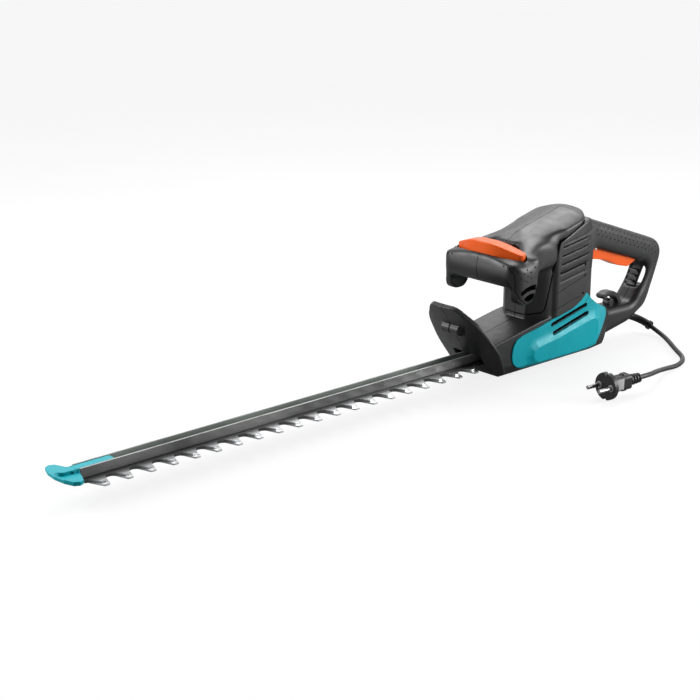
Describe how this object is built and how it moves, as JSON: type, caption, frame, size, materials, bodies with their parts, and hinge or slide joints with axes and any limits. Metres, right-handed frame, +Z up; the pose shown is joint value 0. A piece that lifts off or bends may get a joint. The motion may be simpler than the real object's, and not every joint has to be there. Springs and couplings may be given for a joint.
{
  "type": "hedge trimmer",
  "caption": "Electric hedge trimmer with a long double-sided toothed blade, leaf-shaped hand guard, front switch handle, D-shaped rear handle and a short mains lead.",
  "frame": {"origin": "middle of the flat face under the housing, on which the tool stands", "axes": "+X from the blade tip towards the rear handle, +Y to the tool's right, +Z up"},
  "size_m": [0.9356, 0.2378, 0.1936],
  "materials": {
    "accent": "satin teal",
    "alloy": "die cast",
    "black_rubber": "matt",
    "blade_steel": "ground",
    "brass": "machined",
    "control": "satin orange",
    "copper": "lacquered copper wire",
    "cover": "satin dark grey",
    "guard": "satin dark grey",
    "inner_plastic": "moulded",
    "laminated": "stacked sheets",
    "nickel": "nickel plated",
    "plain_steel": "machined",
    "rail_metal": "dark anodised",
    "shell": "fine-grained satin black"
  },
  "bodies": {
    "trimmer": {"brush_holders": "brass", "cable_hook": "shell", "capacitor": "inner_plastic", "carbon_brushes": "inner_plastic", "crankcase_cover": "alloy", "field_coils": "copper", "front_switch": "inner_plastic", "gear_axle": "plain_steel", "gearbox_plate": "alloy", "guide_rail": "rail_metal", "hand_guard_left": "guard", "hand_guard_right": "guard", "housing_screws": "plain_steel", "lower_bearing": "plain_steel", "main_shell_left": "shell", "main_shell_right": "shell", "motor_bracket": "inner_plastic", "plug_body": "black_rubber", "plug_pins": "nickel", "power_cord": "black_rubber", "rail_bolts": "plain_steel", "rail_nuts": "plain_steel", "rear_switch": "inner_plastic", "side_panel_left": "accent", "side_panel_right": "accent", "stator_core": "laminated", "strain_relief": "black_rubber", "tip_protector": "accent", "top_cover_left": "cover", "top_cover_right": "cover", "trigger_pin": "plain_steel", "upper_bearing": "plain_steel"},
    "lower_blade": {"lower_blade": "blade_steel"},
    "upper_blade": {"upper_blade": "blade_steel"},
    "crank": {"drive_gear": "plain_steel", "upper_eccentric": "plain_steel", "lower_eccentric": "plain_steel"},
    "rotor": {"motor_shaft": "plain_steel", "armature_core": "laminated", "commutator": "copper", "cooling_fan": "inner_plastic", "motor_pinion": "plain_steel"},
    "front_switch_bar": {"front_switch_bar": "control"},
    "rear_trigger": {"rear_trigger": "control"}
  },
  "joints": [
    {"name": "crank_turn", "type": "hinge", "parent": "trimmer", "child": "crank", "pos_m": [-0.011, 0, 0.0287], "axis": [0, 0, 1], "range_deg": [-60, 60]},
    {"name": "rotor_turn", "type": "hinge", "parent": "trimmer", "child": "rotor", "pos_m": [0.025, 0, 0.03], "axis": [0, 0, 1], "range_deg": [-301, 301]},
    {"name": "lower_blade_slide", "type": "slide", "parent": "trimmer", "child": "lower_blade", "axis": [1, 0, 0], "range_m": [-0.00695, 0.00695]},
    {"name": "upper_blade_slide", "type": "slide", "parent": "trimmer", "child": "upper_blade", "axis": [1, 0, 0], "range_m": [-0.00695, 0.00695]},
    {"name": "front_bar_press", "type": "slide", "parent": "trimmer", "child": "front_switch_bar", "axis": [0, 0, -1], "range_m": [0, 0.004], "stiffness_N_per_m": 400, "springref_m": -0.004},
    {"name": "rear_trigger_press", "type": "hinge", "parent": "trimmer", "child": "rear_trigger", "pos_m": [0.099, 0, 0.132], "axis": [0, -1, 0], "range_deg": [0, 4], "stiffness_Nm_per_rad": 1, "springref_deg": -5.73}
  ],
  "couplings": [
    {"joint": "rotor_turn", "follows": "crank_turn", "ratio": -5},
    {"joint": "lower_blade_slide", "follows": "crank_turn", "m_per_rad": 0.006616},
    {"joint": "upper_blade_slide", "follows": "crank_turn", "m_per_rad": -0.006616}
  ]
}
